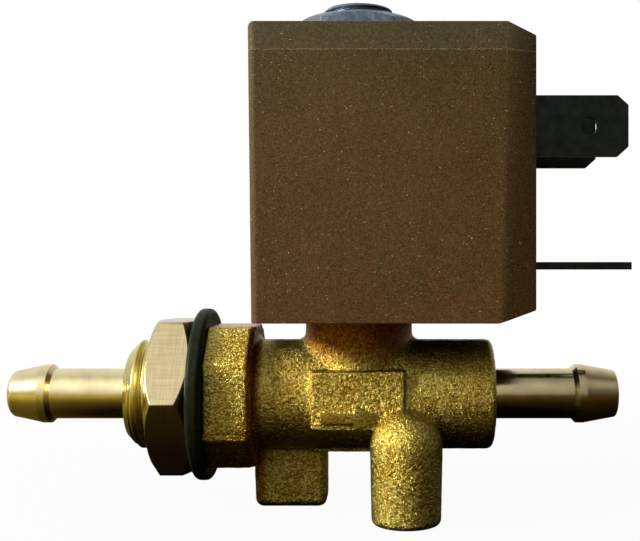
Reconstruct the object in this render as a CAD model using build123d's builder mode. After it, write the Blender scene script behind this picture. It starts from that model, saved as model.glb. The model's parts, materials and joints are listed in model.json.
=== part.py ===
from build123d import *
from math import radians, tan
import os

# Two-way, direct-acting solenoid valve for gas or air: a forged brass body with a hose tail at
# each end, a bulkhead thread with its washer and nut, and a moulded plug-in coil on the neck.
#
# Frame: +Z up, +X from the inlet to the outlet, -Y towards the face with the flow arrow.
# The origin is the middle of the overall length, on the plane that the two feet stand on.
# Stations along the flow are measured from the armature axis, the upright axis of the coil.

SQUARE_ROOT_3 = 3 ** 0.5

# ------------------------------------------------------------------ fits and clearances (mm)
thread_clearance = 0.05         # radial, between a male and a female thread drawn as cylinders
slip_clearance = 0.10           # radial, parts that slide over the guide tube or the stud
plunger_clearance = 0.08        # radial, plunger in the guide tube

# ------------------------------------------------------------------ valve body
flow_height = 12.4              # flow axis above the feet
barrel_margin = 0.15            # radial, barrel outside the neck
barrel_end_round = 0.7
outlet_face = 14.45             # armature axis to the barrel's outlet face
collar_face = 15.8              # armature axis to the face that the panel washer bears on
collar_length = 5.0
collar_step = 1.55              # barrel to the flats of the octagon
collar_edge_chamfer = 0.5       # towards the barrel, on all flats but the top and bottom ones
collar_root_fillet = 0.6
spigot_radius = 6.0             # M12 x 1 bulkhead thread
spigot_chamfer = 0.9
free_thread = 3.15              # thread beyond the panel nut, the thickest panel it can clamp

neck_wall = 1.25                # outside the thread
neck_height = 8.2               # flow axis to the seat of the coil
neck_fillet = 0.8

pad_half_length = 4.85
pad_half_height = 3.05
pad_stand = 0.45                # barrel to the face of the pad
pad_round = 0.35
belly_stand = 0.1               # barrel to the flat underside between the feet
belly_half_width = 2.0
arrow_relief = 0.35
arrow_shaft_width = 1.0
arrow_head_width = 2.5
arrow_tail = 3.8                # armature axis to the arrow's tail, shoulder and tip
arrow_shoulder = 0.3
arrow_tip = 2.6
arrow_drop = 1.75               # flow axis down to the arrow

# ------------------------------------------------------------------ feet, tapped for screws
post_station = 5.0              # front foot: a round post
post_setback = 6.6
post_radius = 3.75
post_sole_radius = 3.6
post_top = 11.55
post_edge_round = 0.3
foot_station = 7.4              # rear foot: a block with a round back
foot_width = 7.8
foot_front_width = 6.6
foot_front = 0.2                # front face, in front of the flow axis
foot_bevel = 0.7
foot_draft = 0.4                # the outer side leans out this much at the top
foot_edge_round = 0.8
foot_crown_drop = 2.0           # flow axis down to the top of the block
screw_hole_radius = 1.65        # tapping size of M4
post_hole_depth = 7.0
foot_hole_depth = 5.0

# ------------------------------------------------------------------ passages inside the body
flow_bore_radius = 1.5
inlet_bore_stop = 1.9           # armature axis to the blind ends of the two bores
outlet_bore_stop = 1.0
orifice_radius = 0.9
seat_radius = 1.25
seat_root_radius = 1.6
o_ring_land = 0.95              # width of the shoulder under the O-ring
chamber_floor = 2.4             # above the flow axis
seat_rise = 1.0                 # seat lip above the chamber floor
neck_bore_depth = 4.0           # seat of the coil down to the O-ring's shoulder
cross_hole_radius = 0.8
cross_hole_station = 2.6

# ------------------------------------------------------------------ hose tails
tail_radius = 2.7
tail_bore_radius = 1.7
barb_radius = 3.15
barb_land = 0.8
barb_back = 0.45
tail_nose = 3.5                 # tip to the barb's land
tip_radius = 2.55
inlet_tail_length = 18.9
outlet_tail_length = 18.9
inlet_tail_out = 12.9           # length that stands out of the body
outlet_tail_out = 13.35
inlet_nose_round = 0.75
outlet_nose_round = 0.25

# ------------------------------------------------------------------ panel washer and nut
panel_washer_radius = 9.25
panel_washer_thickness = 1.5
panel_washer_round = 0.5
panel_nut_across_flats = 16.0
panel_nut_thickness = 4.3
panel_nut_face_inset = 0.05     # turned faces, inside the flats
panel_nut_chamfer_angle = 37    # to the turned faces

# ------------------------------------------------------------------ guide tube and its fixing
tube_radius = 4.0
tube_wall = 0.5
tube_flange_thickness = 0.5
ferrule_wall = 0.5              # round the tube; the thread is M10 x 1 of thin wall
ferrule_sink = 0.1              # below the seat of the coil
ferrule_slot_width = 1.2
ferrule_slot_depth = 1.0
o_ring_section = 0.9
o_ring_squash = 0.08
o_ring_corner = 0.2

# ------------------------------------------------------------------ magnetic parts
stroke = 1.5
plunger_length = 18.4
plunger_chamfer = 0.4
plunger_groove_width = 1.2
plunger_groove_depth = 0.7
seal_radius = 2.0
seal_thickness = 2.0
seal_stand_out = 0.3
spring_pocket_radius = 1.95
spring_pocket_depth = 8.0
spring_mean_radius = 1.45
spring_wire_radius = 0.2
spring_turns = 5
core_tube_overlap = 10.4        # length of the core that is inside the guide tube
stud_chamfer = 0.45
shading_ring_radius = 2.9
shading_ring_width = 0.6
shading_ring_depth = 1.2

# ------------------------------------------------------------------ coil
coil_height = 29.6
coil_half_width = 11.0
coil_back = 10.35               # armature axis to the plain end, at the foot of its draft
coil_draft = 0.35               # the plain end leans out this much at the top
coil_front = 17.8               # armature axis to the terminal end
coil_corner_round = 0.5
end_chamfer_length = 2.95       # chamfers round the terminal end, along X
end_chamfer_side = 1.2
end_chamfer_top = 1.1
base_chamfer_length = 3.8
base_chamfer_height = 1.25
nut_recess_gap = 0.5            # round the nut's corners
nut_recess_depth = 1.0
coil_floor = 0.8                # moulding under the yoke

yoke_thickness = 1.5
yoke_edge_inset = 0.3           # edges of the strip, inside the winding
yoke_half_span = 8.3            # armature axis to the inside of each leg
yoke_bend_radius = 0.4
bobbin_leg_gap = 0.5            # flange to the yoke's legs
bobbin_flange_thickness = 0.9
bobbin_wall = 0.8
winding_margin = 0.5            # winding below the edge of the flanges

# ------------------------------------------------------------------ terminals, 6.3 x 0.8 mm
tab_width = 6.3
tab_thickness = 0.8
tab_tip_length = 1.1
tab_tip_width = 1.0
tab_root = 1.0                  # hidden length inside the moulding, past the yoke
front_tab_out = 10.1
rear_tab_out = 9.15
earth_tab_out = 11.4
power_tab_pitch = 11.0
power_tab_drop = 9.5            # below the top of the coil
earth_tab_height = 5.7          # above the coil's seat
tab_hole_radius = 0.95
tab_hole_from_tip = 4.1
insert_radius = 2.4
insert_length = 5.0
insert_hole_radius = 1.25       # tapping size of M3
insert_hole_depth = 4.0
insert_drop = 16.2              # below the top of the coil

# ------------------------------------------------------------------ coil seal, washer and nut
coil_seal_width = 1.0
seal_groove_clearance = 0.05
coil_washer_width = 2.5
coil_washer_thickness = 0.6
coil_nut_across_flats = 13.0
coil_nut_thickness = 2.8
coil_nut_face_inset = 0.4
coil_nut_chamfer_angle = 30
stud_beyond_nut = 1.4

# ------------------------------------------------------------------ stations worked out
spigot_length = panel_washer_thickness + panel_nut_thickness + free_thread
spigot_end = collar_face + spigot_length
inlet_reach = spigot_end + inlet_tail_out
earth_tab_reach = coil_front + earth_tab_out
outlet_reach = outlet_face + outlet_tail_out
total_reach = max(earth_tab_reach, outlet_reach)
armature_x = (inlet_reach - total_reach) / 2

neck_top = flow_height + neck_height
coil_top = neck_top + coil_height
yoke_bottom = neck_top + coil_floor
yoke_top = coil_top - nut_recess_depth
coil_nut_base = yoke_top + coil_washer_thickness
stud_top = coil_nut_base + coil_nut_thickness + stud_beyond_nut

chamber_floor_z = flow_height + chamber_floor
seat_z = chamber_floor_z + seat_rise
plunger_bottom = seat_z + seal_stand_out
plunger_top = plunger_bottom + plunger_length
core_face = plunger_top + stroke
tube_top = core_face + core_tube_overlap
tube_bore_radius = tube_radius - tube_wall
coil_bore_radius = tube_radius + slip_clearance
plunger_radius = tube_bore_radius - plunger_clearance
ferrule_radius = tube_radius + ferrule_wall
neck_bore_radius = ferrule_radius + thread_clearance
neck_radius = neck_bore_radius + neck_wall
chamber_radius = neck_bore_radius - o_ring_land
barrel_radius = neck_radius + barrel_margin
collar_across_flats = 2 * (barrel_radius + collar_step)
pad_face = barrel_radius + pad_stand
belly_depth = barrel_radius + belly_stand
tube_seat = neck_top - neck_bore_depth
tube_bottom = tube_seat + o_ring_section - o_ring_squash
ferrule_top = neck_top - ferrule_sink

panel_nut_station = collar_face + panel_washer_thickness
ferrule_bottom = tube_bottom + tube_flange_thickness
seal_pocket_depth = seal_thickness - seal_stand_out
bobbin_tube_radius = coil_bore_radius + bobbin_wall
bobbin_flange_radius = yoke_half_span - bobbin_leg_gap
winding_radius = bobbin_flange_radius - winding_margin
yoke_width = 2 * (winding_radius - yoke_edge_inset)
coil_seal_radius = tube_radius + coil_seal_width
coil_washer_radius = coil_bore_radius + coil_washer_width
panel_nut_corner_radius = panel_nut_across_flats / SQUARE_ROOT_3
panel_nut_face_radius = panel_nut_across_flats / 2 - panel_nut_face_inset
coil_nut_corner_radius = coil_nut_across_flats / SQUARE_ROOT_3
coil_nut_face_radius = coil_nut_across_flats / 2 - coil_nut_face_inset
nut_recess_radius = coil_nut_corner_radius + nut_recess_gap
inlet_socket_depth = inlet_tail_length - inlet_tail_out
outlet_socket_depth = outlet_tail_length - outlet_tail_out
foot_hole_setback = foot_width / 2 - foot_front
foot_crown = flow_height - foot_crown_drop
bobbin_bottom = yoke_bottom + yoke_thickness
bobbin_top = yoke_top - yoke_thickness
leg_outside = yoke_half_span + yoke_thickness
tab_inner_end = leg_outside + tab_root
power_tab_z = coil_top - power_tab_drop
earth_tab_z = neck_top + earth_tab_height
insert_z = coil_top - insert_drop

armature_axis = Axis((armature_x, 0, 0), (0, 0, 1))
armature_plane = Plane(origin=(armature_x, 0, 0), x_dir=(1, 0, 0), z_dir=(0, -1, 0))
flow_axis = Axis((armature_x, 0, flow_height), (1, 0, 0))
flow_plane = Plane(origin=(armature_x, 0, flow_height), x_dir=(1, 0, 0), z_dir=(0, -1, 0))


def level(height):
    """A horizontal plane at this height, centred on the armature axis."""
    return Plane(origin=(armature_x, 0, height))


def across_flow(station):
    """A plane square to the flow, at this distance from the armature axis; its normal is +X."""
    return Plane(origin=(armature_x + station, 0, flow_height), x_dir=(0, 1, 0), z_dir=(1, 0, 0))


def turned_blank(start, length, corner_radius, face_radius, chamfer_angle, both_ends):
    """Half section of the bar that a nut is turned from, with its chamfers."""
    drop = (corner_radius - face_radius) * tan(radians(chamfer_angle))
    first_face = face_radius if both_ends else corner_radius
    first_drop = drop if both_ends else 0
    return [
        (start, 0),
        (start, first_face),
        (start + first_drop, corner_radius),
        (start + length - drop, corner_radius),
        (start + length, face_radius),
        (start + length, 0),
    ]


# ------------------------------------------------------------------ valve body
def foot_outline(lean):
    """Plan of the rear foot, with its outer side leaning out by this much."""
    half = foot_width / 2
    left = -foot_station - half - lean
    right = -foot_station + half
    side_start = foot_bevel - foot_front
    side_end = foot_width - foot_front - half
    with BuildLine() as plan:
        Polyline(
            (left, side_end),
            (left, side_start),
            (-foot_station - foot_front_width / 2 - lean, -foot_front),
            (-foot_station + foot_front_width / 2, -foot_front),
            (right, side_start),
            (right, side_end),
        )
        ThreePointArc((right, side_end), ((left + right) / 2, side_end + half), (left, side_end))
    make_face(plan.edges())


post_plane = Plane(
    origin=(armature_x + post_station, -post_setback, 0), x_dir=(1, 0, 0), z_dir=(0, -1, 0)
)
post_axis = Axis((armature_x + post_station, -post_setback, 0), (0, 0, 1))

with BuildPart() as valve_body:
    # Barrel, and the octagonal collar that the bulkhead washer bears on.
    with BuildSketch(across_flow(-collar_face)):
        Circle(barrel_radius)
    extrude(amount=collar_face + outlet_face)
    fillet(valve_body.edges().filter_by(GeomType.CIRCLE).sort_by(Axis.X)[-1], barrel_end_round)
    with BuildSketch(across_flow(-collar_face)):
        RegularPolygon(collar_across_flats / 2, 8, major_radius=False, rotation=22.5)
    extrude(amount=collar_length)
    collar_back = armature_x - collar_face + collar_length
    collar_edges = valve_body.edges().filter_by(GeomType.LINE).filter_by_position(
        Axis.X, collar_back - 0.01, collar_back + 0.01
    )
    crown_edges = collar_edges.filter_by(Axis.Y)
    chamfer([edge for edge in collar_edges if edge not in crown_edges], collar_edge_chamfer)
    collar_root = valve_body.edges().filter_by(GeomType.CIRCLE).filter_by_position(
        Axis.X, collar_back - 0.01, collar_back + 0.01
    )
    fillet(collar_root, collar_root_fillet)

    # Neck, blended into the barrel.
    with BuildSketch(level(flow_height)):
        Circle(neck_radius)
    extrude(amount=neck_height)
    neck_root = valve_body.edges(Select.LAST).filter_by(GeomType.BSPLINE)
    fillet(neck_root, neck_fillet)

    # Flat pads on the front and the back, and the flat underside between the feet.
    with BuildSketch(flow_plane):
        Rectangle(2 * pad_half_length, 2 * pad_half_height)
    extrude(amount=pad_face, both=True)
    pad_fronts = valve_body.faces().filter_by(Axis.Y).group_by(Axis.Y)
    fillet(pad_fronts[0].edges() + pad_fronts[-1].edges(), pad_round)
    with BuildSketch(level(flow_height)):
        Rectangle(2 * pad_half_length, 2 * belly_half_width)
    extrude(amount=-belly_depth)

    # Raised arrow that shows the direction of flow.
    with BuildSketch(flow_plane.offset(pad_face)):
        Polygon(
            (-arrow_tail, -arrow_drop + arrow_shaft_width / 2),
            (-arrow_shoulder, -arrow_drop + arrow_shaft_width / 2),
            (-arrow_shoulder, -arrow_drop + arrow_head_width / 2),
            (arrow_tip, -arrow_drop),
            (-arrow_shoulder, -arrow_drop - arrow_head_width / 2),
            (-arrow_shoulder, -arrow_drop - arrow_shaft_width / 2),
            (-arrow_tail, -arrow_drop - arrow_shaft_width / 2),
            align=None,
        )
    extrude(amount=arrow_relief)

    # Front foot: a round post with a domed top.
    with BuildSketch(post_plane):
        with BuildLine():
            Polyline(
                (0, post_top),
                (0, 0),
                (post_sole_radius - post_edge_round, 0),
                (post_sole_radius, post_edge_round),
                (post_radius, post_top - post_radius),
            )
            RadiusArc((post_radius, post_top - post_radius), (0, post_top), -post_radius)
        make_face()
    revolve(axis=post_axis)

    # Rear foot: a block with a flat front, a round back and a leaning outer side.
    with BuildSketch(level(0)):
        foot_outline(0)
    with BuildSketch(level(foot_crown)):
        foot_outline(foot_draft)
    loft()
    foot_sole = valve_body.faces().filter_by_position(Axis.Z, -0.01, 0.01).sort_by(Axis.Y)[-1]
    fillet(foot_sole.edges(), foot_edge_round)

    # Bulkhead thread, with a chamfered start.
    with BuildSketch(across_flow(-collar_face)):
        Circle(spigot_radius)
    extrude(amount=-spigot_length)
    spigot_rim = valve_body.edges().filter_by(GeomType.CIRCLE).sort_by(Axis.X)[0]
    chamfer(spigot_rim, spigot_chamfer)

    # Stepped bore down the neck: thread, O-ring shoulder and valve chamber.
    with BuildSketch(armature_plane):
        Polygon(
            (0, neck_top),
            (0, chamber_floor_z),
            (chamber_radius, chamber_floor_z),
            (chamber_radius, tube_seat),
            (neck_bore_radius, tube_seat),
            (neck_bore_radius, neck_top),
            align=None,
        )
    revolve(axis=armature_axis, mode=Mode.SUBTRACT)

    # Valve seat, standing on the chamber floor.
    with BuildSketch(armature_plane):
        Polygon(
            (0, chamber_floor_z - seat_rise / 2),
            (seat_root_radius, chamber_floor_z - seat_rise / 2),
            (seat_root_radius, chamber_floor_z),
            (seat_radius, seat_z),
            (0, seat_z),
            align=None,
        )
    revolve(axis=armature_axis)

    # Sockets for the hose tails, and the bores behind them.
    with BuildSketch(across_flow(-spigot_end)):
        Circle(tail_radius)
    extrude(amount=inlet_socket_depth, mode=Mode.SUBTRACT)
    with BuildSketch(across_flow(-spigot_end)):
        Circle(flow_bore_radius)
    extrude(amount=spigot_end - inlet_bore_stop, mode=Mode.SUBTRACT)
    with BuildSketch(across_flow(outlet_face)):
        Circle(tail_radius)
    extrude(amount=-outlet_socket_depth, mode=Mode.SUBTRACT)
    with BuildSketch(across_flow(outlet_face)):
        Circle(flow_bore_radius)
    extrude(amount=-outlet_face - outlet_bore_stop, mode=Mode.SUBTRACT)

    # The inlet rises beside the seat; the orifice drops through the seat to the outlet.
    with BuildSketch(level(flow_height)):
        with Locations((-cross_hole_station, 0)):
            Circle(cross_hole_radius)
    extrude(amount=chamber_floor, mode=Mode.SUBTRACT)
    with BuildSketch(level(flow_height)):
        Circle(orifice_radius)
    extrude(amount=chamber_floor + seat_rise, mode=Mode.SUBTRACT)

    # Blind holes in the soles, drilled for tapping.
    with BuildSketch(level(0)):
        with Locations((post_station, -post_setback)):
            Circle(screw_hole_radius)
    extrude(amount=post_hole_depth, mode=Mode.SUBTRACT)
    with BuildSketch(level(0)):
        with Locations((-foot_station, foot_hole_setback)):
            Circle(screw_hole_radius)
    extrude(amount=foot_hole_depth, mode=Mode.SUBTRACT)

# ------------------------------------------------------------------ hose tails
def tail_outline(length, nose_round):
    """Half section of a hose tail, from its tip at 0 to its inner end, with a rounded nose."""
    land_end = tail_nose + barb_land
    with BuildLine() as half_section:
        Polyline(
            (nose_round, tip_radius),
            (tail_nose, barb_radius),
            (land_end, barb_radius),
            (land_end + barb_back, tail_radius),
            (length, tail_radius),
            (length, tail_bore_radius),
            (0, tail_bore_radius),
            (0, tip_radius - nose_round),
        )
        RadiusArc((0, tip_radius - nose_round), (nose_round, tip_radius), nose_round)
    return half_section.edges()


inlet_tip = Plane(
    origin=(armature_x - inlet_reach, 0, flow_height), x_dir=(1, 0, 0), z_dir=(0, -1, 0)
)
outlet_tip = Plane(
    origin=(armature_x + outlet_reach, 0, flow_height), x_dir=(-1, 0, 0), z_dir=(0, 1, 0)
)

with BuildPart() as inlet_hose_tail:
    with BuildSketch(inlet_tip):
        make_face(tail_outline(inlet_tail_length, inlet_nose_round))
    revolve(axis=flow_axis)

with BuildPart() as outlet_hose_tail:
    with BuildSketch(outlet_tip):
        make_face(tail_outline(outlet_tail_length, outlet_nose_round))
    revolve(axis=flow_axis)

# ------------------------------------------------------------------ panel washer and nut
with BuildPart() as panel_washer:
    with BuildSketch(across_flow(-collar_face)):
        Circle(panel_washer_radius)
        Circle(spigot_radius, mode=Mode.SUBTRACT)
    extrude(amount=-panel_washer_thickness)
    rims = panel_washer.edges().filter_by(GeomType.CIRCLE).sort_by(SortBy.RADIUS)[-2:]
    fillet(rims, panel_washer_round)

with BuildPart() as panel_nut:
    with BuildSketch(across_flow(-panel_nut_station)):
        RegularPolygon(panel_nut_across_flats / 2, 6, major_radius=False, rotation=0)
        Circle(spigot_radius + thread_clearance, mode=Mode.SUBTRACT)
    extrude(amount=-panel_nut_thickness)
    with BuildSketch(flow_plane):
        blank = turned_blank(
            panel_nut_station, panel_nut_thickness, panel_nut_corner_radius, panel_nut_face_radius,
            panel_nut_chamfer_angle, True,
        )
        Polygon(*[(-station, radius) for station, radius in blank], align=None)
    revolve(axis=flow_axis, mode=Mode.INTERSECT)

# ------------------------------------------------------------------ guide tube and its fixing
with BuildPart() as tube_o_ring:
    # Squashed nearly square between the shoulder and the tube's flange.
    with BuildSketch(armature_plane) as tube_o_ring_section:
        with Locations(((chamber_radius + neck_bore_radius) / 2, (tube_seat + tube_bottom) / 2)):
            Rectangle(o_ring_section, tube_bottom - tube_seat)
        chamfer(tube_o_ring_section.vertices(), o_ring_corner)
    revolve(axis=armature_axis)

with BuildPart() as guide_tube:
    with BuildSketch(armature_plane):
        Polygon(
            (tube_bore_radius, tube_bottom),
            (ferrule_radius, tube_bottom),
            (ferrule_radius, ferrule_bottom),
            (tube_radius, ferrule_bottom),
            (tube_radius, tube_top),
            (tube_bore_radius, tube_top),
            align=None,
        )
    revolve(axis=armature_axis)

with BuildPart() as tube_ferrule:
    with BuildSketch(level(ferrule_bottom)):
        Circle(ferrule_radius)
        Circle(tube_radius, mode=Mode.SUBTRACT)
    extrude(amount=ferrule_top - ferrule_bottom)
    # Two slots for a pin spanner.
    with BuildSketch(level(ferrule_top)):
        Rectangle(2 * ferrule_radius, ferrule_slot_width)
    extrude(amount=-ferrule_slot_depth, mode=Mode.SUBTRACT)

# ------------------------------------------------------------------ magnetic parts
with BuildPart() as fixed_core:
    # The pole piece fills the top of the tube, and its shoulder carries the coil's stud.
    with BuildSketch(armature_plane):
        Polygon(
            (0, core_face),
            (tube_bore_radius, core_face),
            (tube_bore_radius, tube_top),
            (tube_radius, tube_top),
            (tube_radius, stud_top - stud_chamfer),
            (tube_radius - stud_chamfer, stud_top),
            (0, stud_top),
            align=None,
        )
    revolve(axis=armature_axis)
    with BuildSketch(level(core_face)):
        Circle(shading_ring_radius)
        Circle(shading_ring_radius - shading_ring_width, mode=Mode.SUBTRACT)
    extrude(amount=shading_ring_depth, mode=Mode.SUBTRACT)

with BuildPart() as shading_ring:
    with BuildSketch(level(core_face)):
        Circle(shading_ring_radius)
        Circle(shading_ring_radius - shading_ring_width, mode=Mode.SUBTRACT)
    extrude(amount=shading_ring_depth)

with BuildPart() as plunger:
    with BuildSketch(level(plunger_bottom)):
        Circle(plunger_radius)
    extrude(amount=plunger_length)
    chamfer(plunger.edges().filter_by(GeomType.CIRCLE), plunger_chamfer)
    # Pocket for the seal below, pocket for the return spring above.
    with BuildSketch(level(plunger_bottom)):
        Circle(seal_radius)
    extrude(amount=seal_pocket_depth, mode=Mode.SUBTRACT)
    with BuildSketch(level(plunger_top)):
        Circle(spring_pocket_radius)
    extrude(amount=-spring_pocket_depth, mode=Mode.SUBTRACT)
    # Grooves that let the gas above the plunger escape.
    with BuildSketch(level(plunger_bottom)):
        with PolarLocations(plunger_radius, 2, start_angle=90):
            Rectangle(2 * plunger_groove_depth, plunger_groove_width)
    extrude(amount=plunger_length, mode=Mode.SUBTRACT)

with BuildPart() as plunger_seal:
    with BuildSketch(level(seat_z)):
        Circle(seal_radius)
    extrude(amount=seal_thickness)

with BuildPart() as return_spring:
    spring_foot = plunger_top - spring_pocket_depth + spring_wire_radius
    spring_height = core_face - spring_wire_radius - spring_foot
    with BuildLine() as coil_path:
        Helix(
            pitch=spring_height / spring_turns,
            height=spring_height,
            radius=spring_mean_radius,
            center=(armature_x, 0, spring_foot),
        )
    with BuildSketch(Plane(coil_path.line @ 0, z_dir=coil_path.line % 0)):
        RegularPolygon(spring_wire_radius, 6)
    sweep(is_frenet=True)

# ------------------------------------------------------------------ coil: iron and copper
with BuildPart() as yoke_bracket:
    # A strip bent to a U, open at the top.
    with BuildSketch(armature_plane):
        with BuildLine():
            FilletPolyline(
                (-leg_outside, bobbin_top),
                (-leg_outside, yoke_bottom),
                (leg_outside, yoke_bottom),
                (leg_outside, bobbin_top),
                radius=yoke_bend_radius + yoke_thickness,
            )
            Line((leg_outside, bobbin_top), (yoke_half_span, bobbin_top))
            FilletPolyline(
                (yoke_half_span, bobbin_top),
                (yoke_half_span, bobbin_bottom),
                (-yoke_half_span, bobbin_bottom),
                (-yoke_half_span, bobbin_top),
                radius=yoke_bend_radius,
            )
            Line((-yoke_half_span, bobbin_top), (-leg_outside, bobbin_top))
        make_face()
    extrude(amount=yoke_width / 2, both=True)
    with BuildSketch(level(yoke_bottom)):
        Circle(coil_bore_radius)
    extrude(amount=yoke_thickness, mode=Mode.SUBTRACT)

with BuildPart() as yoke_plate:
    with BuildSketch(level(bobbin_top)):
        Rectangle(2 * leg_outside, yoke_width)
        Circle(coil_bore_radius, mode=Mode.SUBTRACT)
    extrude(amount=yoke_thickness)

with BuildPart() as coil_bobbin:
    with BuildSketch(armature_plane):
        Polygon(
            (coil_bore_radius, bobbin_bottom),
            (bobbin_flange_radius, bobbin_bottom),
            (bobbin_flange_radius, bobbin_bottom + bobbin_flange_thickness),
            (bobbin_tube_radius, bobbin_bottom + bobbin_flange_thickness),
            (bobbin_tube_radius, bobbin_top - bobbin_flange_thickness),
            (bobbin_flange_radius, bobbin_top - bobbin_flange_thickness),
            (bobbin_flange_radius, bobbin_top),
            (coil_bore_radius, bobbin_top),
            align=None,
        )
    revolve(axis=armature_axis)

with BuildPart() as coil_winding:
    with BuildSketch(level(bobbin_bottom + bobbin_flange_thickness)):
        Circle(winding_radius)
        Circle(bobbin_tube_radius, mode=Mode.SUBTRACT)
    extrude(amount=bobbin_top - bobbin_bottom - 2 * bobbin_flange_thickness)

# ------------------------------------------------------------------ terminals
def tab_outline(length):
    """A spade tab seen flat, tip at 0, with its corners cut and its latch hole."""
    with BuildSketch() as flat:
        Polygon(
            (-length, -tab_width / 2),
            (-tab_tip_length, -tab_width / 2),
            (0, -tab_width / 2 + tab_tip_width),
            (0, tab_width / 2 - tab_tip_width),
            (-tab_tip_length, tab_width / 2),
            (-length, tab_width / 2),
            align=None,
        )
        with Locations((-tab_hole_from_tip, 0)):
            Circle(tab_hole_radius, mode=Mode.SUBTRACT)
    return flat.sketch


def tab_plane(length_out, setback, height, normal):
    """The middle plane of a tab, with its origin at the middle of the tip."""
    tip = (armature_x + coil_front + length_out, setback, height)
    return Plane(origin=tip, x_dir=(1, 0, 0), z_dir=normal)


hidden_length = coil_front - tab_inner_end

with BuildPart() as power_tab_front:
    with BuildSketch(tab_plane(front_tab_out, -power_tab_pitch / 2, power_tab_z, (0, -1, 0))):
        add(tab_outline(hidden_length + front_tab_out))
    extrude(amount=tab_thickness / 2, both=True)

with BuildPart() as power_tab_rear:
    with BuildSketch(tab_plane(rear_tab_out, power_tab_pitch / 2, power_tab_z, (0, -1, 0))):
        add(tab_outline(hidden_length + rear_tab_out))
    extrude(amount=tab_thickness / 2, both=True)

with BuildPart() as earth_tab:
    with BuildSketch(tab_plane(earth_tab_out, 0, earth_tab_z, (0, 0, 1))):
        add(tab_outline(hidden_length + earth_tab_out))
    extrude(amount=tab_thickness / 2, both=True)

coil_end_plane = Plane(
    origin=(armature_x + coil_front, 0, insert_z), x_dir=(0, 1, 0), z_dir=(1, 0, 0)
)
with BuildPart() as plug_screw_insert:
    with BuildSketch(coil_end_plane):
        Circle(insert_radius)
    extrude(amount=-insert_length)
    with BuildSketch(coil_end_plane):
        Circle(insert_hole_radius)
    extrude(amount=-insert_hole_depth, mode=Mode.SUBTRACT)

# ------------------------------------------------------------------ coil: moulded housing
with BuildPart() as coil_housing:
    with BuildSketch(armature_plane):
        Polygon(
            (-coil_back, neck_top),
            (coil_front - base_chamfer_length, neck_top),
            (coil_front, neck_top + base_chamfer_height),
            (coil_front, coil_top - end_chamfer_top),
            (coil_front - end_chamfer_length, coil_top),
            (-coil_back - coil_draft, coil_top),
            align=None,
        )
    extrude(amount=coil_half_width, both=True)
    # Chamfers down both sides of the terminal end.
    with BuildSketch(level(neck_top)):
        for side in (1, -1):
            Polygon(
                (coil_front, side * coil_half_width),
                (coil_front, side * (coil_half_width - end_chamfer_side)),
                (coil_front - end_chamfer_length, side * coil_half_width),
                align=None,
            )
    extrude(amount=coil_height, mode=Mode.SUBTRACT)
    plain_end = coil_housing.faces().sort_by(Axis.X)[0]
    fillet(plain_end.edges().filter_by(Axis.Y, reverse=True), coil_corner_round)

    # Recess for the nut, hole for the guide tube, and the seal's groove in the base.
    with BuildSketch(level(coil_top)):
        Circle(nut_recess_radius)
    extrude(amount=-nut_recess_depth, mode=Mode.SUBTRACT)
    with BuildSketch(level(neck_top)):
        Circle(coil_seal_radius + seal_groove_clearance)
    extrude(amount=coil_floor, mode=Mode.SUBTRACT)
    with BuildSketch(level(neck_top)):
        Circle(coil_bore_radius)
    extrude(amount=coil_height, mode=Mode.SUBTRACT)
    with BuildSketch(coil_end_plane):
        Circle(insert_radius)
    extrude(amount=-insert_length, mode=Mode.SUBTRACT)

    # The moulding closes round everything inside the coil.
    add(yoke_bracket.part, mode=Mode.SUBTRACT)
    add(yoke_plate.part, mode=Mode.SUBTRACT)
    add(coil_bobbin.part, mode=Mode.SUBTRACT)
    add(coil_winding.part, mode=Mode.SUBTRACT)
    add(power_tab_front.part, mode=Mode.SUBTRACT)
    add(power_tab_rear.part, mode=Mode.SUBTRACT)
    add(earth_tab.part, mode=Mode.SUBTRACT)

# ------------------------------------------------------------------ coil seal, washer and nut
with BuildPart() as coil_o_ring:
    with BuildSketch(armature_plane) as coil_o_ring_section:
        with Locations(((tube_radius + coil_seal_radius) / 2, neck_top + coil_floor / 2)):
            Rectangle(coil_seal_width, coil_floor)
        chamfer(coil_o_ring_section.vertices(), o_ring_corner)
    revolve(axis=armature_axis)

with BuildPart() as coil_washer:
    with BuildSketch(level(yoke_top)):
        Circle(coil_washer_radius)
        Circle(coil_bore_radius, mode=Mode.SUBTRACT)
    extrude(amount=coil_washer_thickness)

with BuildPart() as coil_nut:
    with BuildSketch(level(coil_nut_base)):
        RegularPolygon(coil_nut_across_flats / 2, 6, major_radius=False, rotation=0)
        Circle(tube_radius + thread_clearance, mode=Mode.SUBTRACT)
    extrude(amount=coil_nut_thickness)
    with BuildSketch(armature_plane):
        blank = turned_blank(
            coil_nut_base, coil_nut_thickness, coil_nut_corner_radius, coil_nut_face_radius,
            coil_nut_chamfer_angle, False,
        )
        Polygon(*[(radius, height) for height, radius in blank], align=None)
    revolve(axis=armature_axis, mode=Mode.INTERSECT)

# ------------------------------------------------------------------ write every piece
pieces = {
    "valve_body": valve_body,
    "inlet_hose_tail": inlet_hose_tail,
    "outlet_hose_tail": outlet_hose_tail,
    "panel_washer": panel_washer,
    "panel_nut": panel_nut,
    "tube_o_ring": tube_o_ring,
    "guide_tube": guide_tube,
    "tube_ferrule": tube_ferrule,
    "fixed_core": fixed_core,
    "shading_ring": shading_ring,
    "plunger": plunger,
    "plunger_seal": plunger_seal,
    "return_spring": return_spring,
    "yoke_bracket": yoke_bracket,
    "yoke_plate": yoke_plate,
    "coil_bobbin": coil_bobbin,
    "coil_winding": coil_winding,
    "power_tab_front": power_tab_front,
    "power_tab_rear": power_tab_rear,
    "earth_tab": earth_tab,
    "plug_screw_insert": plug_screw_insert,
    "coil_housing": coil_housing,
    "coil_o_ring": coil_o_ring,
    "coil_washer": coil_washer,
    "coil_nut": coil_nut,
}
os.makedirs("parts", exist_ok=True)
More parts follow.
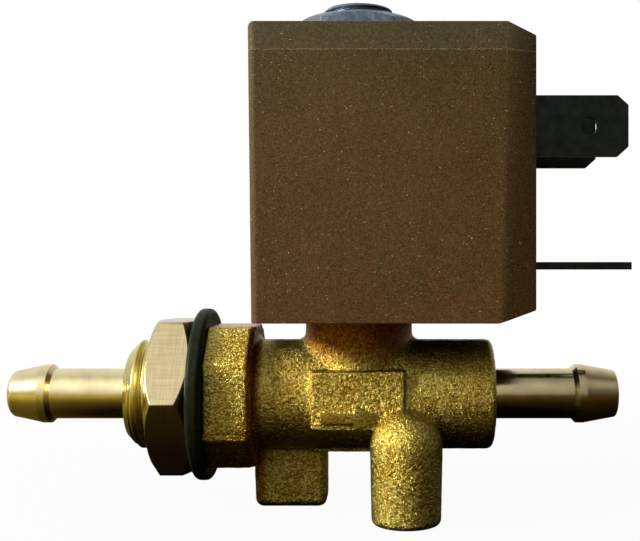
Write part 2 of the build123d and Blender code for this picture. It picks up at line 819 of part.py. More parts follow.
for name, piece in pieces.items():
    piece.part.label = name
    export_step(piece.part, f"parts/{name}.step")
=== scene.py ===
import json
import math

import bmesh
import bpy
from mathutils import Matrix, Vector, noise


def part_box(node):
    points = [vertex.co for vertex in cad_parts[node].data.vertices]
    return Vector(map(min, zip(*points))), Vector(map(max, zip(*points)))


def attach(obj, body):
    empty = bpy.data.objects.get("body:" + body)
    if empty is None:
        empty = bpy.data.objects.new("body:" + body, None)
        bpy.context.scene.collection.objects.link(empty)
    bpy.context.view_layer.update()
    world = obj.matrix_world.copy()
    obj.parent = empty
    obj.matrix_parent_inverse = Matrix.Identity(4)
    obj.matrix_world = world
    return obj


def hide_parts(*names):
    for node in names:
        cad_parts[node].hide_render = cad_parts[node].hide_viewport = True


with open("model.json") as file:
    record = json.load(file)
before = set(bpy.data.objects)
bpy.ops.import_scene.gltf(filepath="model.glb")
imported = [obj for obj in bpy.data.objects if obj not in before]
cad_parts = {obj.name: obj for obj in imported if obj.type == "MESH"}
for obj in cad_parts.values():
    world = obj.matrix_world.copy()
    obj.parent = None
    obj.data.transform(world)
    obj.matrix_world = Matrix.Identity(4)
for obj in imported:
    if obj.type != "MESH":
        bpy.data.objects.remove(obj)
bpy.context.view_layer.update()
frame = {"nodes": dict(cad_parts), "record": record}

MM = 0.001

# ---------------------------------------------------------------- places, from the frame
mounts = {mount["name"]: mount for mount in frame["record"]["mounts"]}

housing_low, housing_high = (Vector(corner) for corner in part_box("coil_housing"))
body_low, body_high = (Vector(corner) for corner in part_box("valve_body"))
washer_high = Vector(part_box("panel_washer")[1])
core_low, core_high = (Vector(corner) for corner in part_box("fixed_core"))
armature_x = (core_low.x + core_high.x) / 2
flow_z = mounts["outlet_barb"]["pos_m"][2]
stud_radius = (core_high.x - core_low.x) / 2
collar_length = 5.0 * MM
collar_root = washer_high.x + collar_length
neck_radius = 5.80 * MM


# ---------------------------------------------------------------- camera
def make_camera():
    """A close view square to the front, from a little to the outlet's side of the coil.

    The picture's middle lies to the left of the point that the camera faces, as in a crop.
    """
    distance = 104.6 * MM
    stand = armature_x + 2.55 * MM
    picture_middle = armature_x - 4.25 * MM
    level = housing_low.z + 5.2 * MM
    camera_data = bpy.data.cameras.new("camera")
    camera_data.sensor_width = 36
    camera_data.lens = 53.94
    sideways = (picture_middle - stand) / distance
    camera_data.shift_x = sideways * camera_data.lens / camera_data.sensor_width
    camera_data.clip_start = 0.01
    camera_data.clip_end = 10
    camera = bpy.data.objects.new("camera", camera_data)
    camera.location = (stand, -distance, level)
    camera.rotation_euler = (math.pi / 2, 0, 0)
    bpy.context.scene.collection.objects.link(camera)
    bpy.context.scene.camera = camera


make_camera()
bpy.context.scene.view_settings.view_transform = "Standard"


# ---------------------------------------------------------------- node helpers
class Tree:
    """A small wrapper that adds shader nodes to a tree and links them."""

    def __init__(self, tree):
        self.tree = tree
        self.tree.nodes.clear()

    def link(self, source, target):
        """Links one node's output to another's input."""
        self.tree.links.new(source, target)

    def add(self, kind, inputs=None, **settings):
        """A new node of this kind; inputs are values or sockets by input name or number."""
        node = self.tree.nodes.new("ShaderNode" + kind)
        for key, value in settings.items():
            setattr(node, key, value)
        for key, value in (inputs or {}).items():
            if isinstance(value, bpy.types.NodeSocket):
                self.link(value, node.inputs[key])
            else:
                node.inputs[key].default_value = value
        return node

    def ramp(self, factor, stops):
        """A colour ramp; stops are (position, colour or grey)."""
        node = self.add("ValToRGB", {"Fac": factor})
        elements = node.color_ramp.elements
        while len(elements) < len(stops):
            elements.new(0.5)
        for element, (position, colour) in zip(elements, stops):
            element.position = position
            element.color = (colour,) * 3 + (1,) if isinstance(colour, float) else (*colour, 1)
        return node.outputs["Color"]

    def mix(self, factor, first, second, blend="MIX"):
        """A colour mix of sockets or colours."""
        inputs = {0: factor, 6: first, 7: second}
        for key, value in inputs.items():
            if isinstance(value, tuple):
                inputs[key] = (*value, 1)
        return self.add("Mix", inputs, data_type="RGBA", blend_type=blend).outputs[2]

    def map_range(self, value, start, end, low=0.0, high=1.0):
        """Rises evenly from low at start to high at end."""
        return self.add("MapRange", {
            "Value": value, "From Min": start, "From Max": end, "To Min": low, "To Max": high,
        }).outputs[0]

    def math(self, operation, first, second=0.0):
        """A sum, product or other operation on two values."""
        return self.add("Math", {0: first, 1: second}, operation=operation).outputs[0]


class Nodes(Tree):
    """The nodes of a new material with one principled shader."""

    def __init__(self, name):
        self.material = bpy.data.materials.new(name)
        self.material.use_nodes = True
        super().__init__(self.material.node_tree)
        self.output = self.tree.nodes.new("ShaderNodeOutputMaterial")
        self.shader = self.tree.nodes.new("ShaderNodeBsdfPrincipled")
        self.link(self.shader.outputs[0], self.output.inputs["Surface"])
        self.place = self.tree.nodes.new("ShaderNodeTexCoord").outputs["Object"]

    def set(self, **values):
        """Sets or links the shader's own sockets; an underscore stands for a space."""
        for key, value in values.items():
            socket = self.shader.inputs[key.replace("_", " ")]
            if isinstance(value, bpy.types.NodeSocket):
                self.link(value, socket)
            else:
                socket.default_value = value

    def noise(self, scale, detail=2.0, roughness=0.5, vector=None):
        """Noise with this many cells in a metre."""
        return self.add("TexNoise", {
            "Vector": vector or self.place, "Scale": scale, "Detail": detail,
            "Roughness": roughness,
        }).outputs["Fac"]

    def stretched(self, x, y, z):
        """The object's coordinates, scaled along each axis."""
        return self.add("Mapping", {"Vector": self.place, "Scale": (x, y, z)}).outputs[0]

    def smooth_range(self, value, start, end):
        """Rises smoothly from 0 at start to 1 at end."""
        return self.add("MapRange", {"Value": value, "From Min": start, "From Max": end},
                        interpolation_type="SMOOTHSTEP").outputs[0]

    def bump(self, height, distance, normal=None):
        """A bump of this real height in metres."""
        inputs = {"Height": height, "Distance": distance}
        if normal:
            inputs["Normal"] = normal
        return self.add("Bump", inputs).outputs["Normal"]


# ---------------------------------------------------------------- materials
def darker(colour, share):
    """The colour at this share of its brightness."""
    return tuple(part * share for part in colour)


def forged_brass(name, relief=1.0):
    """Shot-blasted forged brass: a lumpy grain about 0.25 mm across that glints, with painted shade
    in its pits.

    Painted shade makes it darker and redder up the neck under the coil and behind the collar at its
    root.
    Relief scales the height of the grain.
    """
    m = Nodes(name)
    grain = m.noise(3700, 3.0, 0.66)
    fine = m.noise(11000, 1.0, 0.5)
    patches = m.noise(260, 3.0, 0.6)
    # Painted shade in the grain: the tone is darkest where the bump is low and palest where it is
    # high.
    tone = m.ramp(grain, [
        (0.36, (0.20, 0.135, 0.014)), (0.50, (0.44, 0.34, 0.063)), (0.64, (0.66, 0.56, 0.16)),
    ])
    stain = m.ramp(patches, [(0.36, (0.84, 0.72, 0.50)), (0.60, (1.0, 1.0, 1.0))])
    # Painted shade: a darker, redder tint up the neck under the coil and in the root behind the
    # collar.
    at = m.add("SeparateXYZ", {0: m.place}).outputs
    across = m.add("CombineXYZ", {
        "X": m.math("SUBTRACT", at["X"], armature_x), "Y": at["Y"],
    }).outputs[0]
    from_axis = m.add("VectorMath", {0: across}, operation="LENGTH").outputs["Value"]
    near_neck = m.smooth_range(from_axis, neck_radius + 0.40 * MM, neck_radius + 0.02 * MM)
    up_neck = m.smooth_range(at["Z"], body_high.z - 5.2 * MM, body_high.z - 2.2 * MM)
    from_root = m.math("ABSOLUTE", m.math("SUBTRACT", at["X"], collar_root))
    in_root = m.smooth_range(from_root, 0.9 * MM, 0.35 * MM)
    on_neck = m.math("MULTIPLY", near_neck, up_neck)
    shade = m.math("MAXIMUM", on_neck, m.math("MULTIPLY", in_root, 0.9))
    painted_shade_tint = m.mix(shade, (1.0, 1.0, 1.0), (0.60, 0.30, 0.16))
    colour = m.mix(1.0, m.mix(1.0, tone, stain, "MULTIPLY"), painted_shade_tint, "MULTIPLY")
    m.set(Base_Color=colour, Metallic=1.0, Roughness=m.ramp(fine, [(0.3, 0.36), (0.7, 0.22)]),
          Coat_Weight=0.05, Coat_Roughness=0.35)
    lumps = m.bump(grain, 0.00020 * relief)
    m.set(Normal=m.bump(fine, 0.00004 * relief, lumps))
    return m.material


def turned_brass(name, base, rough):
    """Brass turned on the flow axis, with fine tool lines round it."""
    m = Nodes(name)
    lines = m.noise(260, 3.0, 0.6, m.stretched(60.0, 1.0, 1.0))
    smears = m.noise(500, 2.0, 0.5)
    tone = m.ramp(smears, [(0.3, darker(base, 0.80)), (0.7, base)])
    m.set(Base_Color=tone, Metallic=1.0,
          Roughness=m.ramp(lines, [(0.3, rough * 0.8), (0.7, rough * 1.5)]))
    m.set(Normal=m.bump(lines, 0.000001))
    return m.material


def milled_brass():
    """Milled brass with a fine grid of cutter lines that only shows close up."""
    m = Nodes("nut_brass")
    across = m.noise(300, 2.0, 0.5, m.stretched(22.0, 1.0, 1.0))
    along = m.noise(300, 2.0, 0.5, m.stretched(1.0, 18.0, 18.0))
    grid = m.math("MULTIPLY", m.math("ADD", across, along), 0.5)
    tone = m.ramp(grid, [(0.36, (0.36, 0.285, 0.15)), (0.64, (0.48, 0.395, 0.22))])
    m.set(Base_Color=tone, Metallic=1.0, Roughness=0.26)
    m.set(Normal=m.bump(grid, 0.00001))
    return m.material


def coil_moulding():
    """Glass-filled dark olive-brown moulding, matt and mottled, with pale specks.

    A faint seam runs round it where the mould's halves met, and the strip above it is paler.
    """
    seam_z = housing_high.z - 2.8 * MM
    m = Nodes("coil_moulding")
    cloud = m.noise(160, 3.0, 0.6)
    mottle = m.noise(7500, 2.0, 0.7)
    hue = m.noise(3600, 2.0, 0.7)
    flake = m.noise(5200, 1.0, 0.5)
    height = m.add("SeparateXYZ", {0: m.place}).outputs["Z"]
    rise = m.map_range(height, housing_low.z, housing_high.z)
    base = m.mix(rise, (0.076, 0.037, 0.010), (0.060, 0.044, 0.013))
    for field, low, high in ((cloud, (0.90, 0.90, 0.90), (1.08, 1.08, 1.08)),
                             (mottle, (0.42, 0.42, 0.40), (1.58, 1.58, 1.62)),
                             (hue, (1.16, 0.88, 0.92), (0.88, 1.14, 1.06))):
        base = m.mix(1.0, base, m.ramp(field, [(0.32, low), (0.68, high)]), "MULTIPLY")
    above = m.smooth_range(height, seam_z, seam_z + 0.1 * MM)
    base = m.mix(above, base, m.mix(1.0, base, (0.008, 0.009, 0.012), "ADD"))
    off_seam = m.math("ABSOLUTE", m.math("SUBTRACT", height, seam_z))
    seam = m.math("MULTIPLY", m.smooth_range(off_seam, 0.10 * MM, 0.03 * MM),
                  m.smooth_range(mottle, 0.36, 0.56))
    base = m.mix(seam, base, (0.19, 0.15, 0.075))
    pale = m.ramp(flake, [(0.72, (0.0, 0.0, 0.0)), (0.78, (0.34, 0.30, 0.21))])
    m.set(Base_Color=m.mix(1.0, base, pale, "ADD"), Roughness=0.7, Specular_IOR_Level=0.15)
    m.set(Normal=m.bump(seam, 0.00004, m.bump(mottle, 0.00001)))
    return m.material


def black_rubber():
    """Black moulded rubber with a dull shine."""
    m = Nodes("black_rubber")
    dust = m.noise(1500, 3.0, 0.6)
    m.set(Base_Color=m.ramp(dust, [(0.4, (0.008, 0.010, 0.004)), (0.8, (0.016, 0.018, 0.008))]),
          Roughness=0.45, Specular_IOR_Level=0.06)
    m.set(Normal=m.bump(dust, 0.000006))
    return m.material


def zinc_plate():
    """Zinc plate, cool blue-grey, with small bright marks."""
    base = (0.16, 0.195, 0.25)
    m = Nodes("zinc_plate")
    marks = m.noise(1800, 3.0, 0.65)
    m.set(Base_Color=m.ramp(marks, [(0.35, darker(base, 0.6)), (0.65, base)]), Metallic=1.0,
          Roughness=m.ramp(marks, [(0.35, 0.48), (0.7, 0.28)]))
    m.set(Normal=m.bump(marks, 0.00003))
    return m.material


def dark_tab():
    """A dull dark tab with a greenish cast."""
    m = Nodes("dark_tab")
    marks = m.noise(900, 3.0, 0.6)
    m.set(Base_Color=m.ramp(marks, [(0.3, (0.014, 0.019, 0.017)), (0.7, (0.030, 0.038, 0.035))]),
          Metallic=0.85, Roughness=m.ramp(marks, [(0.3, 0.40), (0.7, 0.28)]))
    m.set(Normal=m.bump(marks, 0.000006))
    return m.material


def plain_metal(name, base, rough):
    """A metal with faint darker marks, for the pieces that are hidden inside."""
    m = Nodes(name)
    marks = m.noise(1200, 2.0, 0.5)
    m.set(Base_Color=m.ramp(marks, [(0.3, darker(base, 0.8)), (0.7, base)]),
          Metallic=1.0, Roughness=rough)
    return m.material


def bobbin_plastic():
    """Natural nylon."""
    m = Nodes("bobbin_plastic")
    tone = m.ramp(m.noise(600), [(0.3, (0.45, 0.40, 0.30)), (0.7, (0.55, 0.50, 0.40))])
    m.set(Base_Color=tone, Roughness=0.5)
    return m.material


forged = forged_brass("forged_brass")
arrow_brass = forged_brass("arrow_brass", 0.35)
nut_brass = milled_brass()
tail_brass = turned_brass("tail_brass", (0.72, 0.61, 0.34), 0.18)
thread_brass = turned_brass("thread_brass", (0.60, 0.50, 0.17), 0.2)
moulding = coil_moulding()
rubber = black_rubber()
zinc = zinc_plate()
tab_metal = dark_tab()
steel = plain_metal("stainless", (0.6, 0.6, 0.58), 0.25)
copper = plain_metal("copper", (0.70, 0.32, 0.16), 0.3)
nylon = bobbin_plastic()

NODE_MATERIALS = {
    "valve_body": forged, "inlet_hose_tail": tail_brass, "outlet_hose_tail": tail_brass,
    "panel_washer": rubber, "panel_nut": nut_brass, "tube_o_ring": rubber, "guide_tube": steel,
    "tube_ferrule": tail_brass, "fixed_core": zinc, "shading_ring": copper, "plunger": steel,
    "plunger_seal": rubber, "return_spring": steel, "yoke_bracket": zinc, "yoke_plate": zinc,
    "coil_bobbin": nylon, "coil_winding": copper, "power_tab_front": tab_metal,
    "power_tab_rear": tab_metal, "earth_tab": tab_metal, "plug_screw_insert": tail_brass,
    "coil_housing": moulding, "coil_o_ring": rubber, "coil_washer": zinc, "coil_nut": zinc,
}


def dress(node, material):
    """Gives a CAD node its finish."""
    cad_object = frame["nodes"][node]
    cad_object.data.materials.clear()
    cad_object.data.materials.append(material)


for node_name, node_material in NODE_MATERIALS.items():
    dress(node_name, node_material)


# ---------------------------------------------------------------- pieces in place of CAD nodes
SMOOTH_ANGLE = math.radians(28)


def finish_piece(piece, material, body, slot, *replaced):
    """Links a mesh object, gives it its material and sets what it rides on and replaces."""
    bpy.context.scene.collection.objects.link(piece)
    piece.data.materials.clear()
    piece.data.materials.append(material)
    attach(piece, body)
    if replaced:
        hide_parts(*replaced)


def welded(name, node):
    """A copy of a CAD node's mesh, and the same as a welded bmesh in millimetres."""
    weld_distance = 0.002
    mesh = frame["nodes"][node].data.copy()
    mesh.name = name
    work = bmesh.new()
    work.from_mesh(mesh)
    bmesh.ops.scale(work, vec=(1 / MM,) * 3, verts=work.verts)
    bmesh.ops.remove_doubles(work, verts=work.verts, dist=weld_distance)
    return mesh, work


def copied_mesh(name, node):
    """A welded copy of a CAD node's mesh, in millimetres and without its shading."""
    mesh, work = welded(name, node)
    work.to_mesh(mesh)
    work.free()
    shading = ("custom_normal", "sharp_edge", "sharp_face")
    for attribute in [a for a in mesh.attributes if a.name in shading]:
        mesh.attributes.remove(attribute)
    return mesh


def split_large_faces(work):
    """Cuts faces of more than four corners into triangles."""
    bmesh.ops.triangulate(work, faces=[f for f in work.faces if len(f.verts) > 4])


def write_back(work, mesh):
    """Writes a bmesh in millimetres to a mesh in metres."""
    bmesh.ops.scale(work, vec=(MM,) * 3, verts=work.verts)
    work.to_mesh(mesh)
    work.free()


def shade_smooth(mesh, sharp_angle=None):
    """Smooth shading, but for edges sharper than this angle."""
    mesh.polygons.foreach_set("use_smooth", [True] * len(mesh.polygons))
    if sharp_angle:
        mesh.set_sharp_from_angle(angle=sharp_angle)


def round_between(work, first, second, radius):
    """Cuts a round of this radius along the edge where two flat faces would meet."""
    steps = 6
    offset = [face.normal.dot(face.calc_center_median()) - radius for face in (first, second)]
    normals = [face.normal.copy() for face in (first, second)]
    share = normals[0].dot(normals[1])
    along = [offset[0] - offset[1] * share, offset[1] - offset[0] * share]
    centre = (normals[0] * along[0] + normals[1] * along[1]) / (1 - share * share)
    for step in range(steps):
        normal = normals[0].slerp(normals[1], (step + 0.5) / steps).normalized()
        sliced = bmesh.ops.bisect_plane(
            work, geom=work.verts[:] + work.edges[:] + work.faces[:], dist=0.0001,
            plane_co=centre + normal * radius, plane_no=normal, clear_outer=True
        )
        rim = [g for g in sliced["geom_cut"] if isinstance(g, bmesh.types.BMEdge)]
        if rim:
            bmesh.ops.contextual_create(work, geom=rim)
    work.normal_update()


def softened(name, node, edge, body, slot, material, round_off=None, clamp=True):
    """A CAD node's shape with its sharp edges broken by this many millimetres.

    round_off may round more of the mesh first. Clamp keeps the breaks from overlapping.
    """
    mesh = copied_mesh(name, node)
    work = bmesh.new()
    work.from_mesh(mesh)
    flat = math.radians(0.4)
    bmesh.ops.dissolve_limit(work, angle_limit=flat, verts=work.verts, edges=work.edges)
    work.normal_update()
    if round_off:
        round_off(work)
    sharp = [e for e in work.edges if len(e.link_faces) == 2 and e.calc_face_angle() > SMOOTH_ANGLE]
    bmesh.ops.bevel(
        work, geom=sharp, offset=edge, segments=2, profile=0.5, affect="EDGES", clamp_overlap=clamp
    )
    split_large_faces(work)
    write_back(work, mesh)
    shade_smooth(mesh, SMOOTH_ANGLE)
    piece = bpy.data.objects.new(name, mesh)
    finish_piece(piece, material, body, slot, node)
    flatten_shading(piece)


def flatten_shading(piece):
    """Keeps the shading of large flat faces even, up to the small faces along their edges."""
    weighted = piece.modifiers.new("weighted", "WEIGHTED_NORMAL")
    weighted.keep_sharp = True
    weighted.weight = 100
    graph = bpy.context.evaluated_depsgraph_get()
    mesh = bpy.data.meshes.new_from_object(piece.evaluated_get(graph))
    piece.modifiers.clear()
    piece.data = mesh


def round_plain_end(work):
    """Rounds the coil moulding's corners at the end away from its tabs."""
    def outer(way):
        """The largest face that looks this way."""
        towards = Vector(way)
        return max(work.faces, key=lambda f: f.calc_area() if f.normal.dot(towards) > 0.99 else 0.0)

    for other, radius in (((0, -1, 0), 0.8), ((0, 1, 0), 0.8), ((0, 0, 1), 0.6)):
        round_between(work, outer((-1, 0, 0)), outer(other), radius)


def make_arrow():
    """The raised flow arrow with rounded edges, from the front face of the CAD body's arrow."""
    pad_reach = 4.5
    arrow_depth = 0.05
    root_depth = 0.5
    edge_round = 0.26
    mesh, work = welded("flow_arrow", "valve_body")
    centre = armature_x / MM
    front_faces = [f for f in work.faces if f.normal.y < -0.999]
    pad = [f for f in front_faces if abs(f.calc_center_median().x - centre) < pad_reach]
    nearest = min(f.calc_center_median().y for f in pad)
    arrow = [f for f in pad if f.calc_center_median().y < nearest + arrow_depth]
    bmesh.ops.delete(work, geom=[f for f in work.faces if f not in set(arrow)], context="FACES")
    flat = math.radians(0.5)
    bmesh.ops.dissolve_limit(work, angle_limit=flat, verts=work.verts, edges=work.edges)
    front = work.faces[:]
    sunk = bmesh.ops.extrude_face_region(work, geom=front)
    sunk_verts = [g for g in sunk["geom"] if isinstance(g, bmesh.types.BMVert)]
    bmesh.ops.translate(work, vec=(0, root_depth, 0), verts=sunk_verts)
    bmesh.ops.recalc_face_normals(work, faces=work.faces)
    in_front = {v for v in work.verts if v.co.y < nearest + 0.01}
    rim = [e for e in work.edges if e.calc_length() > 0 and in_front.issuperset(e.verts)]
    upright = [e for e in work.edges if abs(e.verts[0].co.y - e.verts[1].co.y) > root_depth / 2]
    bmesh.ops.bevel(
        work, geom=rim + upright, offset=edge_round, segments=4, profile=0.5, affect="EDGES",
        clamp_overlap=True,
    )
    split_large_faces(work)
    write_back(work, mesh)
    shade_smooth(mesh, SMOOTH_ANGLE)
    piece = bpy.data.objects.new("flow_arrow", mesh)
    finish_piece(piece, arrow_brass, "body", "forged_brass", "valve_body")


def add_collar(mesh):
    """Adds the collar's forged outline, a square with cut corners, round the CAD octagon."""
    half_across = 7.4
    corner_cut = 3.5
    chamfer = 0.5
    start = washer_high.x / MM + 0.02
    end = collar_root / MM
    work = bmesh.new()
    work.from_mesh(mesh)
    rings = []
    for x, inset in ((start, 0.0), (end - chamfer, 0.0), (end, chamfer)):
        wide, narrow = half_across - inset, half_across - corner_cut - inset * 0.4
        corners = [(wide, narrow), (narrow, wide), (-narrow, wide), (-wide, narrow),
                   (-wide, -narrow), (-narrow, -wide), (narrow, -wide), (wide, -narrow)]
        rings.append([work.verts.new((x, y, flow_z / MM + z)) for y, z in corners])
    sides = len(rings[0])
    for first, second in zip(rings, rings[1:]):
        for k in range(sides):
            n = (k + 1) % sides
            work.faces.new((first[k], first[n], second[n], second[k]))
    work.faces.new(rings[0][::-1])
    work.faces.new(rings[-1])
    work.to_mesh(mesh)
    work.free()


def make_forging():
    """The forged body: the CAD shape with forged edges and an uneven skin, without its thread."""
    voxel = 0.12
    pad_half_length = 4.85
    skin_drop = 0.03
    waves = ((0.022, 1.1), (0.012, 3.1))  # height in mm, and how many in a mm
    mesh = copied_mesh("forged_body", "valve_body")
    add_collar(mesh)
    work_object = bpy.data.objects.new("forged_body", mesh)
    bpy.context.scene.collection.objects.link(work_object)
    remesh = work_object.modifiers.new("remesh", "REMESH")
    remesh.mode = "VOXEL"
    remesh.voxel_size = voxel
    graph = bpy.context.evaluated_depsgraph_get()
    skin = bpy.data.meshes.new_from_object(work_object.evaluated_get(graph))
    bpy.data.objects.remove(work_object)
    skin.name = "forged_body"
    work = bmesh.new()
    work.from_mesh(skin)
    behind_washer = (washer_high.x - 0.5 * MM) / MM
    threaded_end = [v for v in work.verts if v.co.x < behind_washer]
    bmesh.ops.delete(work, geom=threaded_end, context="VERTS")

    pad_left = armature_x / MM - pad_half_length
    flow = flow_z / MM

    def on_pad_edge(co):
        """On the front pad's edge towards the inlet."""
        return abs(co.x - pad_left) < 0.55 and co.y < 0 and -3.9 < co.z - flow < 3.0

    def on_pad_top(co):
        """On the front pad's upper edge, over the 7 mm nearest the inlet."""
        return co.y < 0 and pad_left < co.x < pad_left + 7 and 2.9 < co.z - flow < 4.3

    def smooth(verts, times):
        """Evens out these points this many times."""
        for _ in range(times):
            bmesh.ops.smooth_vert(
                work, verts=verts, factor=0.5, use_axis_x=True, use_axis_y=True, use_axis_z=True
            )

    smooth(work.verts[:], 4)
    smooth([v for v in work.verts if on_pad_edge(v.co)], 14)
    smooth([v for v in work.verts if on_pad_top(v.co)], 10)
    work.normal_update()
    above_sole = 0.15
    below_seat = body_high.z / MM - 0.1
    for vert in work.verts:
        lift = sum(height * noise.noise(vert.co * rate) for height, rate in waves)
        if above_sole < vert.co.z < below_seat:
            vert.co += vert.normal * (lift - skin_drop)
    write_back(work, skin)
    shade_smooth(skin)
    piece = bpy.data.objects.new("forged_body", skin)
    finish_piece(piece, forged, "body", "forged_brass", "valve_body")


def thread_mesh(name, crest, pitch, depth, length, chamfer, inner, end, direction):
    """A helical thread, in millimetres, from its chamfered end back along its axis.

    End is the middle of the end face, direction the unit vector that points out of it, and inner
    the radius of what stands in the end face, or None where the face is whole.
    """
    around = 144
    steps_in_pitch = 20
    crest_share = 0.35
    flank_share = 0.60
    step = pitch / steps_in_pitch
    rows = int(length / step)
    out = Vector(direction)
    side = Vector((0, 1, 0))
    up = out.cross(side)
    work = bmesh.new()

    def ring(back, radii):
        """Points round the axis, this far behind the end face."""
        verts = []
        for index, radius in enumerate(radii):
            angle = 2 * math.pi * index / around
            spoke = side * math.cos(angle) + up * math.sin(angle)
            verts.append(work.verts.new((end - out * back + spoke * radius) * MM))
        return verts

    def thread_radius_at(back, angle_share):
        """The thread's radius this far behind the end face, at this share of a turn."""
        phase = (back / pitch + angle_share) % 1.0
        fall = min(max((abs(2 * phase - 1) - crest_share) / flank_share, 0.0), 1.0)
        fall = fall * fall * (3 - 2 * fall)
        return min(crest - depth * fall, crest - chamfer + back)

    rings = []
    if inner is not None:
        rings.append(ring(0, [inner] * around))
    for row in range(rows + 1):
        back = row * step
        rings.append(ring(back, [thread_radius_at(back, k / around) for k in range(around)]))
    for first, second in zip(rings, rings[1:]):
        for k in range(around):
            n = (k + 1) % around
            work.faces.new((first[k], second[k], second[n], first[n]))
    if inner is None:
        work.faces.new(rings[0])
    bmesh.ops.recalc_face_normals(work, faces=work.faces)
    mesh = bpy.data.meshes.new(name)
    work.to_mesh(mesh)
    work.free()
    shade_smooth(mesh, math.radians(50))
    return mesh


def make_bulkhead_thread():
    """The bulkhead thread, from its free end to the collar."""
    tail_radius = 2.7
    end = Vector((body_low.x + 0.2 * MM, 0, flow_z)) / MM
    length = (washer_high.x - body_low.x) / MM
    mesh = thread_mesh(
        "bulkhead_thread", crest=5.85, pitch=1.25, depth=0.5, length=length, chamfer=1.1,
        inner=tail_radius, end=end, direction=(-1, 0, 0),
    )
    piece = bpy.data.objects.new("bulkhead_thread", mesh)
    finish_piece(piece, thread_brass, "body", "forged_brass", "valve_body")


def make_stud_thread():
    """The coil's stud, from its top to a little way inside its nut."""
    inside_nut = 1.2
    nut_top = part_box("coil_nut")[1][2]
    end = Vector((armature_x, 0, core_high.z)) / MM
    length = (core_high.z - nut_top) / MM + inside_nut
    mesh = thread_mesh(
        "coil_stud", crest=stud_radius / MM, pitch=1.0, depth=0.5, length=length, chamfer=0.45,
        inner=None, end=end, direction=(0, 0, 1),
    )
    piece = bpy.data.objects.new("coil_stud", mesh)
    finish_piece(piece, zinc, "body", "zinc_steel", "fixed_core")


make_forging()
make_arrow()
make_bulkhead_thread()
make_stud_thread()
softened(
    "panel_nut_brass", "panel_nut", edge=0.08, body="panel_nut", slot="turned_brass",
    material=nut_brass,
)
softened("coil_nut_zinc", "coil_nut", edge=0.10, body="coil_nut", slot="zinc_steel", material=zinc)
softened(
    "coil_moulding_shell", "coil_housing", edge=0.12, body="coil", slot="coil_moulding",
    material=moulding, round_off=round_plain_end, clamp=False,
)


# ---------------------------------------------------------------- floor, background and light
def make_floor():
    """A white floor that keeps a soft shadow; in reflections it is a table with painted shade near
    the object and painted light towards the left.

    The camera sees a white glow, and through it near the object a trace of the floor in shadow.
    """
    bpy.ops.mesh.primitive_plane_add(size=3.0, location=(0, 0, 0))
    floor = bpy.context.object
    floor.name = "floor"
    m = Nodes("floor_white")
    path = m.add("LightPath").outputs
    along = m.add("SeparateXYZ", {0: m.place}).outputs
    past_body = m.math("SUBTRACT", m.math("ABSOLUTE", along["X"]), body_high.x)
    past_end = m.math("MAXIMUM", past_body, 0.0)
    aside = m.add("CombineXYZ", {"X": past_end, "Y": along["Y"]}).outputs[0]
    away = m.add("VectorMath", {0: aside}, operation="LENGTH").outputs["Value"]
    # Painted shade and light for reflections: the table is dark near the object and brighter
    # towards the left, as if a window lit it.
    away_from_painted_shade = m.map_range(away, 9 * MM, 65 * MM)
    far = m.map_range(away, 30 * MM, 200 * MM)
    left = m.map_range(along["X"], 35 * MM, -60 * MM)
    table = m.mix(away_from_painted_shade, (0.008, 0.004, 0.002), (0.36, 0.285, 0.045))
    table = m.mix(1.0, table, m.mix(left, (0.16, 0.11, 0.12), (1.0, 1.0, 1.0)), "MULTIPLY")
    colour = m.mix(path["Is Camera Ray"], table, (0.36, 0.36, 0.36))
    m.set(Base_Color=colour, Roughness=1.0, Specular_IOR_Level=0.0)
    glow = m.add("Emission", {"Color": (1, 1, 1, 1), "Strength": 1.0})
    veil = m.map_range(far, 0.0, 1.0, 0.95, 1.0)
    both = m.add("MixShader", {"Fac": m.math("MULTIPLY", path["Is Camera Ray"], veil)})
    m.link(m.shader.outputs[0], both.inputs[1])
    m.link(glow.outputs[0], both.inputs[2])
    m.link(both.outputs[0], m.output.inputs["Surface"])
    floor.data.materials.append(m.material)


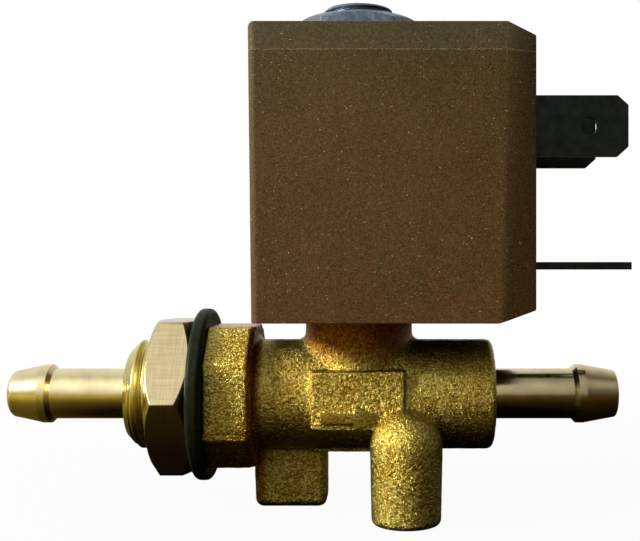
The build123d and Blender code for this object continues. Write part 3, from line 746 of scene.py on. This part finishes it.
def make_world():
    """White to the camera, and behind the object in reflections; a plain studio elsewhere."""
    world = bpy.data.worlds.new("studio")
    bpy.context.scene.world = world
    world.use_nodes = True
    w = Tree(world.node_tree)
    direction = w.add("TexCoord").outputs["Generated"]
    way = w.add("SeparateXYZ", {0: direction}).outputs
    sky = w.ramp(w.map_range(way["Z"], -1.0, 1.0), [
        (0.40, (0.10, 0.08, 0.04)), (0.50, (0.46, 0.43, 0.34)), (0.60, (0.78, 0.77, 0.72)),
        (0.72, (0.92, 0.92, 0.93)), (0.87, (0.96, 0.98, 1.0)), (0.96, (0.72, 0.73, 0.75)),
        (1.0, 0.52),
    ])
    side = w.ramp(w.map_range(way["X"], -1.0, 1.0), [
        (0.0, 0.50), (0.30, 0.85), (0.40, 1.0), (0.50, 0.66), (0.54, (0.50, 0.49, 0.48)),
        (0.58, (0.36, 0.35, 0.34)), (0.66, (0.16, 0.15, 0.14)), (1.0, (0.05, 0.04, 0.04)),
    ])
    mixed = w.mix(1.0, sky, side, "MULTIPLY")
    # Two soft bright patches: where each lies, how wide it is and how bright at its middle.
    patches = [((-0.38, -0.58, 0.70), 0.15, 0.30), ((0.72, -0.42, 0.55), 0.10, 0.25)]
    for middle, width, level in patches:
        facing = w.add("VectorMath", {0: direction, 1: Vector(middle).normalized()},
                       operation="DOT_PRODUCT").outputs["Value"]
        mixed = w.mix(1.0, mixed, w.map_range(facing, 1 - width, 1.0, 0.0, level), "ADD")
    studio = w.add("Background", {"Color": mixed, "Strength": 1.5})
    white = w.add("Background", {"Color": (1, 1, 1, 1), "Strength": 1.0})
    path = w.add("LightPath").outputs
    behind = w.map_range(way["Y"], -0.1, 0.75, 0.0, 0.75)
    mirrored = w.math("MAXIMUM", path["Is Glossy Ray"], path["Is Transmission Ray"])
    pale = w.math("MAXIMUM", path["Is Camera Ray"], w.math("MULTIPLY", mirrored, behind))
    choose = w.add("MixShader", {"Fac": pale, 1: studio.outputs[0], 2: white.outputs[0]})
    output = w.add("OutputWorld")
    w.link(choose.outputs[0], output.inputs["Surface"])


def make_lamp(name, place, aim, size, power, colour):
    """A soft rectangular lamp."""
    lamp_data = bpy.data.lights.new(name, "AREA")
    lamp_data.shape = "RECTANGLE"
    lamp_data.size, lamp_data.size_y = size
    lamp_data.energy = power
    lamp_data.color = colour
    lamp = bpy.data.objects.new(name, lamp_data)
    lamp.location = place
    lamp.rotation_euler = (Vector(aim) - Vector(place)).to_track_quat("-Z", "Y").to_euler()
    bpy.context.scene.collection.objects.link(lamp)


make_floor()
make_world()
make_lamp(
    "key", place=(-0.42, -0.155, 0.215), aim=(0, 0, 0.02), size=(0.16, 0.10), power=4.4,
    colour=(1.0, 0.97, 0.92),
)
